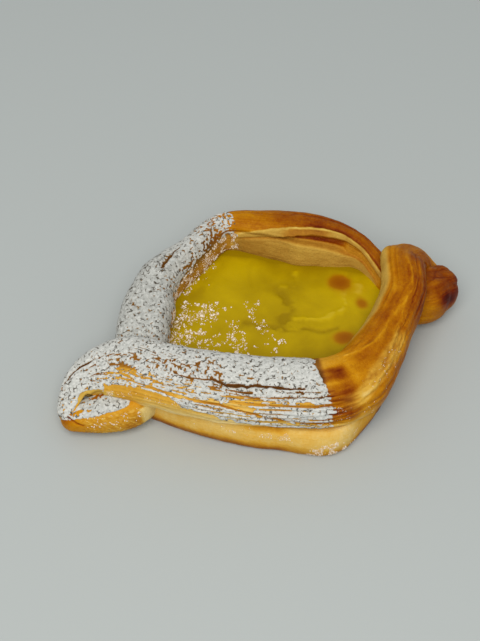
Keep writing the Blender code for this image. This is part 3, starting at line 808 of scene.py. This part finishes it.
# The base: a slab whose side is a half ellipse from the table to its top.
def baseSkin():
    outline, at = bowedDiamond(base)
    middle = outline.mean(axis=0)
    away = outline - middle
    distance = np.linalg.norm(away, axis=1)[:, None]
    turn = np.linspace(-math.pi / 2, math.pi / 2, base["layers"])[:, None, None]
    ring = middle + away * (1 - base["edge"] * (1 - np.cos(turn)) / distance)
    z = (base["height"] - 1) / 2 + (base["height"] + 1) / 2 * np.sin(turn) + 0 * ring[..., :1]
    skin = np.concatenate([ring, z], axis=-1)
    normal = gridNormals(skin, -1, True)
    skin = skin + normal * (0.45 * fractal(skin, 11, base["seed"]) - 0.45)[..., None]
    skin = skin + normal * (0.12 * fractal(skin, 3, base["seed"] + 1))[..., None]
    swell = bell(skin, (-32, -34, 4), (14, 14, 9))
    skin = skin + normal * (0.8 * swell)[..., None]
    skin[..., 2] = np.maximum(skin[..., 2], table)
    return skin, normal, at, middle


def makeBase(material):
    skin, _, at, middle = baseSkin()
    edge = skin[..., 2] + 1.0 * fractal(skin, 5, base["seed"] + 3)
    bake = 0.2 + 0.08 * fractal(skin, 8, base["seed"] + 2) + 0.12 * ease(-edge, -6.5, -2.5)
    front, right, rear = window(at, 52, 74, 6), window(at, 76, 130, 6), ease(at, 30, 40)
    bake += 0.34 * ease(-edge, -5.4, -1.2) * (1 - 0.4 * front) - 0.05 * front + 0.2 * right
    # along its top edge, where the strips sit on it: painted warm shade for most of the way round, and a little
    # painted light near the left corner
    bake += ease(skin[..., 2], 8.4, 10) * (0.2 * rear * (1 - front) - 0.04 * (1 - rear))
    cut = 0.15 + 0 * bake
    fields = {"bake": bake, "cut": cut, "along": 0 * bake + at, "around": skin[..., 2]}
    addSkin("baseCrust", skin, [[*middle, 0], [*middle, base["height"] - 5]], fields, lambda value: [0.5, 0.5],
            False, material, "dough", "baked_dough")


makeBase(doughLook)


# Height of the custard's surface in mm and how light it is: low swells, and folds along arcs. Raised folds are
# painted lighter and sunk ones darker, as painted highlight and shade, and there is painted shade along the foot
# of the back wall and beside the sugared arm.
def custardHeight(x, y):
    flat = np.stack([x, y, 0 * x], axis=-1)
    top = custardHigh[2] - 0.7 + 0.4 * fractal(flat, 15, custard["seed"])
    light = 0.1 * ease(x, 0, 40) + 0.2 * bell(flat, (-2, 16, 0), (16, 12, 1)) - 0.25 * ease(-y, 8, 26)
    wave = fractal(flat, 13, custard["seed"] + 7) * ease(x, -12, 10)
    top = top + 0.25 * wave
    light = light + 0.32 * wave
    drift = [1.5 * fractal(flat, 6, custard["seed"] + k) for k in (1, 2)]
    bent = flat[..., :2] + np.stack(drift, axis=-1)
    for width, height, knots in custard["folds"]:
        off = np.full(x.shape, 99.0)
        for start, end in zip(np.array(knots[:-1], float), np.array(knots[1:], float)):
            run = end - start
            share = np.clip(((bent - start) @ run) / (run @ run), 0, 1)
            off = np.minimum(off, np.linalg.norm(bent - start - share[..., None] * run, axis=-1))
        fold = np.exp(-((off / width) ** 2)) * ease(fractal(flat, 4, custard["seed"] + 3), -0.5, 0.2)
        top = top + height * fold
        # painted highlight on raised folds and painted shade in sunk ones
        light = light + 0.36 * np.sign(height) * fold
    # painted shade along the foot of the back wall
    wall = -0.513 * x - 0.859 * (y - 28.5) + 0.7  # mm from the back wall
    light = light - 0.5 * np.exp(-np.maximum(wall, 0) / 1.1)
    # painted shade on the custard beside the sugared arm
    arm = 0.682 * (x + 43) - 0.731 * (y + 8)  # mm from the straight line along the sugared arm
    light = light - 0.22 * ease(-arm, -6, -1) * ease(fractal(flat, 5, custard["seed"] + 9), -0.6, 0.3)
    return np.minimum(top, custardHigh[2] - 0.02), light


# The custard: rings of its outline drawn in towards the middle, at the height of its surface.
def makeCustard(material):
    outline, _ = bowedDiamond(custard)
    middle = outline.mean(axis=0)
    share = np.linspace(1, 0, custard["rings"], endpoint=False)[:, None, None]
    ring = middle + (outline - middle) * share
    top, light = custardHeight(ring[..., 0], ring[..., 1])
    skin = np.concatenate([ring, top[..., None]], axis=-1)
    rim = np.concatenate([outline, np.full((len(outline), 1), custardLow[2])], axis=-1)[None]
    grid = np.concatenate([rim, skin])
    ragged = 1 + 0.35 * fractal(grid, 4, custard["seed"] + 5)
    brown = 0
    for x, y, wide, long, depth in custard["spots"]:
        off = ((grid[..., 0] - x) / wide) ** 2 + ((grid[..., 1] - y) / long) ** 2
        brown = brown + depth * np.exp(-((off * ragged) ** 1.4))
    light = np.concatenate([0 * light[:1], light])
    poles = [[*middle, custardLow[2]], [*middle, custardHeight(middle[:1], middle[1:])[0][0]]]
    addSkin("custardPool", grid, poles, {"brown": brown, "light": light}, lambda value: [0, 0], False, material,
            "custard", "baked_custard")


makeCustard(custardMaterial())


sugar = {
    "edge": 4.5,  # x where the sifted half ends
    "thickness": 0.3,
    "cell": 0.27,  # mm between points of the coat
    "highest": 200,  # angle on the outer side where it ends
    "sunk": 0.35,  # mm that the coat's underside lies in the dough
    "seed": 500,
    "grain": (0.10, 0.34),  # smallest and largest radius of the loose grains
    "grainScales": {"front": 0.42, "back": 0.6, "base": 0.5},  # how large they are there beside that
    "drifts": [(-17, 5), (-8, 1), (0, 5), (2.5, -13), (-1, -7), (-20, 0)],  # clusters of them on the custard
    # where they lie on the crust: places and angles that they lie between, how many, and how far their lines lean
    "frontAreas": [(82, 85, -10, 60, 160, 0), (91, 108, 46, 70, 90, 0), (86, 96, -5, 30, 30, 0),
                   (16, 44, 16, 30, 200, 0)],
    "backAreas": [(48, 72, -20, 14, 1400, 0), (72, 96, -14, 18, 1100, 0), (5, 17, 0, 40, 200, 0.1)],
    # and on the base: places along its outline, heights, and how many
    "baseAreas": [(32, 50, 7.4, 9.0, 260), (57, 72, 1.4, 7.0, 1300), (16, 30, 7.5, 9.5, 50)],
}


# Thickness in mm of the coat, under 0 where it is bare: full on faces that look up, thin on steep ones and past
# its borders on either side, open in small pores and ticks and along the dough's grooves, and ragged at its end.
def coatThickness(strip, points, facing, crease, place, angle):
    seed = strip["seed"] + 50
    clump = fractal(points, 1.4, seed, 3)
    drift = fractal(np.stack([place / 9, angle / 17, 0 * place], -1), 1.0, seed + 5)
    loose = tableValue(strip["loose"], place)
    for baldPlace, baldAngle, long, wide, amount in strip["bald"]:
        off = ((place - baldPlace) / long) ** 2 + ((angle - baldAngle) / wide) ** 2
        loose = loose + amount * np.exp(-off)
    tick = np.exp(-((noise(points, 1.2, seed + 9) / 0.09) ** 2)) * ease(noise(points, 1.0, seed + 11), 0.0, 0.35)
    pore = ease(noise(points, 0.62, seed + 12) + 0.3 * noise(points, 2.7, seed + 13) + 0.8 * loose, 0.6, 0.85)
    border = 2.2 * noise(points, 3.0, seed + 2) + 1.2 * noise(points, 0.9, seed + 3)
    low = tableValue(strip["sugarLow"], place) + 2 * border
    high = sugar["highest"] + 3 * border
    inside = np.minimum(ease(angle - low, -4, 4), ease(high - angle, -4, 4))
    end = ease(sugar["edge"] - points[..., 0] + 0.5 * border, -0.5, 0.9)
    steep = tableValue(strip["steep"], place)
    cover = inside * end * ease(facing + steep + 0.2 * clump + 0.3 * drift, 0.1, 0.45)
    gaps = 0.3 * tick + 0.6 * pore + 0.85 * crease
    return sugar["thickness"] * (1.7 * cover - 0.7 + 0.5 * clump - 0.5 * loose - 1.6 * gaps)


# Corners of the grid's cells to keep.
def keptCells(keep, columns, offset):
    rows = keep.shape[0] + 1
    index = np.arange(rows * columns).reshape(rows, columns) + offset
    return np.stack([index[:-1, :-1], index[:-1, 1:], index[1:, 1:], index[1:, :-1]], axis=-1)[keep]


# A coat over part of a strip: a closed shell whose top lies the coat's thickness over the dough, whose underside
# is sunk in it, and whose walls follow the outer edges of the cells that it keeps.
def makeCoat(name, strip, reliefOf, material):
    first, last, lowAngle, highAngle = strip["coat"]
    steps = int((last - first) / sugar["cell"])
    sides = int((highAngle - lowAngle) / 360 * meanGirth / sugar["cell"])
    places, angles = np.linspace(first, last, steps), np.linspace(lowAngle, highAngle, sides)
    skin, normal, fields, crease, angle = bakedStrip(strip, reliefOf, places, angles, False)
    facing = gridNormals(skin, 1)[..., 2]
    thickness = coatThickness(strip, skin, facing, crease, fields["along"], angle)
    top = skin + normal * np.maximum(thickness, -0.2)[..., None]
    inside = skin - normal * sugar["sunk"]
    corners = np.stack([thickness[:-1, :-1], thickness[:-1, 1:], thickness[1:, 1:], thickness[1:, :-1]])
    keep = corners.max(axis=0) > 0
    upper = keptCells(keep, sides, 0)
    lower = keptCells(keep, sides, steps * sides)[:, ::-1]
    edges = np.concatenate([upper[:, [k, (k + 1) % 4]] for k in range(4)])
    _, where, count = np.unique(np.sort(edges, axis=1), axis=0, return_inverse=True, return_counts=True)
    rim = edges[count[where.ravel()] == 1]
    walls = np.stack([rim[:, 1], rim[:, 0], rim[:, 0] + steps * sides, rim[:, 1] + steps * sides], axis=-1)
    points = np.concatenate([top.reshape(-1, 3), inside.reshape(-1, 3)])
    thin = np.tile(1 - ease(thickness, -0.05, 0.22).ravel(), 2)
    # painted shade for the sugar, from the strip's table
    grey = np.tile(tableValue(strip["grey"], fields["along"]).ravel(), 2)
    quads = np.concatenate([upper, lower, walls])[:, ::-1]
    used, renumbered = np.unique(quads, return_inverse=True)
    addPiece(name, points[used], renumbered.reshape(-1, 4), np.zeros((0, 3), int),
             {"thin": thin[used], "grey": grey[used]}, material, None, "powdered_sugar")


# One ball of 20 faces.
def ballShape():
    golden = (1 + 5**0.5) / 2
    corners = [(0, a, b * golden) for a in (-1, 1) for b in (-1, 1)]
    corners = np.array(corners + [(z, x, y) for x, y, z in corners] + [(y, z, x) for x, y, z in corners])
    near = np.linalg.norm(corners[:, None] - corners, axis=-1) < 2.1
    faces = []
    for a in range(12):
        for b in range(a + 1, 12):
            for c in range(b + 1, 12):
                if near[a, b] and near[b, c] and near[a, c]:
                    out = np.dot(np.cross(corners[b] - corners[a], corners[c] - corners[a]), corners[a]) > 0
                    faces.append((a, b, c) if out else (a, c, b))
    return unit(corners), np.array(faces)


# Loose clumps of sugar: balls of uneven width, each sunk a little into what it lies on.
def makeGrains(spots, normals, scale, material):
    ball, faces = ballShape()
    count = len(spots)
    small, large = sugar["grain"]
    radius = scale * (small + (large - small) * rng.random(count) ** 3)
    uneven = 1 + 0.35 * rng.standard_normal((count, 12, 1)).clip(-1.5, 1.5)
    spin = rng.standard_normal((count, 3, 3))
    turn = np.linalg.qr(spin)[0]
    body = np.einsum("nij,kj->nki", turn, ball) * uneven * radius[:, None, None]
    points = spots[:, None] + normals[:, None] * (0.5 * radius)[:, None, None] + body
    triangles = faces[None] + 12 * np.arange(count)[:, None, None]
    flip = np.linalg.det(turn) < 0
    triangles[flip] = triangles[flip][:, :, ::-1]
    addPiece("sugarGrains", points.reshape(-1, 3), np.zeros((0, 4), int), triangles.reshape(-1, 3), {}, material,
             None, "powdered_sugar")


# Places of the grains on the custard: clusters, thick along its left and front walls and strewn further in.
def custardSpots():
    x, y = rng.uniform(-38, 6, 6000), rng.uniform(-36, 28, 6000)
    left = (x + 27) * 0.8 - (y - 5) * 0.6  # mm from the left wall
    front = (y + 26) * 0.9 + (x + 10) * 0.42
    back = 17 - y + 0.82 * (x + 20)  # from the back left wall
    flat = np.stack([x, y, 0 * x], -1)
    strewn = 0.35 * ease(noise(flat, 5, sugar["seed"] + 50), -0.1, 0.5)
    chance = np.exp(-np.maximum(left, 0) / 3.5) + 0.5 * np.exp(-np.maximum(front, 0) / 2.5) + strewn + 0.03
    chance *= ease(2 - x, -1, 5) * ease(9 - 0.3 * x - y, -1, 3)
    chance += 0.8 * np.exp(-np.maximum(back, 0) / 1.6) * ease(-x, 2, 10)
    kept = (rng.random(len(x)) < 0.5 * chance) & (left > -0.5) & (front > -0.5) & (back > 0)
    hearts = np.stack([x[kept], y[kept]], -1)
    hearts = np.concatenate([hearts, np.repeat(sugar["drifts"], 5, axis=0)
                             + rng.normal(0, 1.2, (5 * len(sugar["drifts"]), 2))])
    count = rng.integers(2, 12, len(hearts))
    spread = np.repeat(rng.uniform(0.15, 0.6, len(hearts)), count)[:, None]
    spots = np.repeat(hearts, count, axis=0) + spread * rng.standard_normal((count.sum(), 2))
    top = custardHeight(spots[:, 0], spots[:, 1])[0]
    return np.column_stack([spots, top]), np.tile((0.0, 0.0, 1.0), (len(spots), 1)), np.ones(len(spots))


# This many spots of a grid of points, drawn by chance.
def drawnSpots(skin, normal, chance, count, scale):
    share = np.clip(chance, 0, None).ravel()
    drawn = rng.choice(share.size, count, p=share / share.sum())
    return skin.reshape(-1, 3)[drawn], normal.reshape(-1, 3)[drawn], np.full(count, scale)


# Grains on the crust: past the coat's ragged ends, on the inner walls and the lobe, and on the front of the base.
def crustSpots():
    found = []
    scales = sugar["grainScales"]
    for strip, reliefOf, side in (frontStrip, frontRelief, "front"), (backStrip, backRelief, "back"):
        for first, last, low, high, count, lean in sugar[f"{side}Areas"]:
            places, angles = np.arange(first - 2, last + 2, 0.2), np.arange(low - 8, high + 8, 1.5)
            skin, normal, _, _, angle = bakedStrip(strip, reliefOf, places, angles, False)
            place = 0 * angle + places[:, None]
            clumps = ease(noise(skin, 1.4, sugar["seed"] + 60), 0.0, 0.4) + 0.03
            line = sheets(place + lean * angle + 0.5 * noise(skin, 4, 9), 1.5, 0.14)[1] if lean else 1
            chance = clumps * line * window(place, first, last, 1.5) * window(angle, low, high, 6)
            found.append(drawnSpots(skin, normal, chance, count, scales[side]))
    skin, normal, at, _ = baseSkin()
    for first, last, low, high, count in sugar["baseAreas"]:
        clumps = ease(noise(skin, 1.5, sugar["seed"] + 61), 0.2, 0.5) + 0.01
        chance = clumps * window(0 * skin[..., 2] + at, first, last, 2) * window(skin[..., 2], low, high, 0.8)
        found.append(drawnSpots(skin, normal, chance, count, scales["base"]))
    return [np.concatenate(parts) for parts in zip(*found)]


powder, grain = sugarMaterial(), grainMaterial()
makeCoat("frontSugarCoat", frontStrip, frontRelief, powder)
makeCoat("backSugarCoat", backStrip, backRelief, powder)
makeGrains(*(np.concatenate(parts) for parts in zip(custardSpots(), crustSpots())), grain)


# The board, the light and the camera: lengths in m, but the camera's place in mm, and its angles in degrees.
studio = {
    "reach": 1.5, "board": "B3B9B7", "boardRoughness": 0.7,
    "sky": "F2F4F6", "skyStrength": 0.5,
    "lamp": (-0.3, -0.5, 0.9), "lampSize": 0.9, "lampPower": 9.0, "lampColor": "FFFCF8",
    "camera": (-107.94, -262.85, 332.0), "pitch": 42, "heading": -21, "lens": 75.8,
}

reach = studio["reach"]
floorMesh = bpy.data.meshes.new("floor")
floorMesh.from_pydata([(-reach, -reach, 0), (reach, -reach, 0), (reach, reach, 0), (-reach, reach, 0)], [],
                      [(0, 1, 2, 3)])
floor = bpy.data.objects.new("floor", floorMesh)
bpy.context.collection.objects.link(floor)
floorLook, add = newMaterial("pale matt board")
boardShader = add("BsdfPrincipled", Base_Color=hexColor(studio["board"]), Roughness=studio["boardRoughness"])
add("OutputMaterial", Surface=boardShader)
floorMesh.materials.append(floorLook)

world = bpy.data.worlds.new("studio")
bpy.context.scene.world = world
world.use_nodes = True
sky = world.node_tree.nodes["Background"]
sky.inputs["Color"].default_value = hexColor(studio["sky"])
sky.inputs["Strength"].default_value = studio["skyStrength"]

softbox = bpy.data.lights.new("overheadSoftbox", "AREA")
softbox.shape = "DISK"
softbox.size = studio["lampSize"]
softbox.energy = studio["lampPower"]
softbox.color = hexColor(studio["lampColor"])[:3]
lamp = bpy.data.objects.new("overheadSoftbox", softbox)
bpy.context.collection.objects.link(lamp)
lamp.location = studio["lamp"]
back = np.array(studio["lamp"]) / np.linalg.norm(studio["lamp"])  # from the pastry towards the lamp
lamp.rotation_euler = (math.acos(back[2]), 0, math.atan2(back[0], -back[1]))

cameraData = bpy.data.cameras.new("camera")
cameraData.lens = studio["lens"]
cameraData.sensor_width = 36
cameraData.clip_start = 0.01
camera = bpy.data.objects.new("camera", cameraData)
bpy.context.collection.objects.link(camera)
camera.location = np.array(studio["camera"]) * mm
camera.rotation_euler = (math.radians(studio["pitch"]), 0, math.radians(studio["heading"]))
bpy.context.scene.camera = camera
bpy.context.scene.view_settings.view_transform = "Standard"
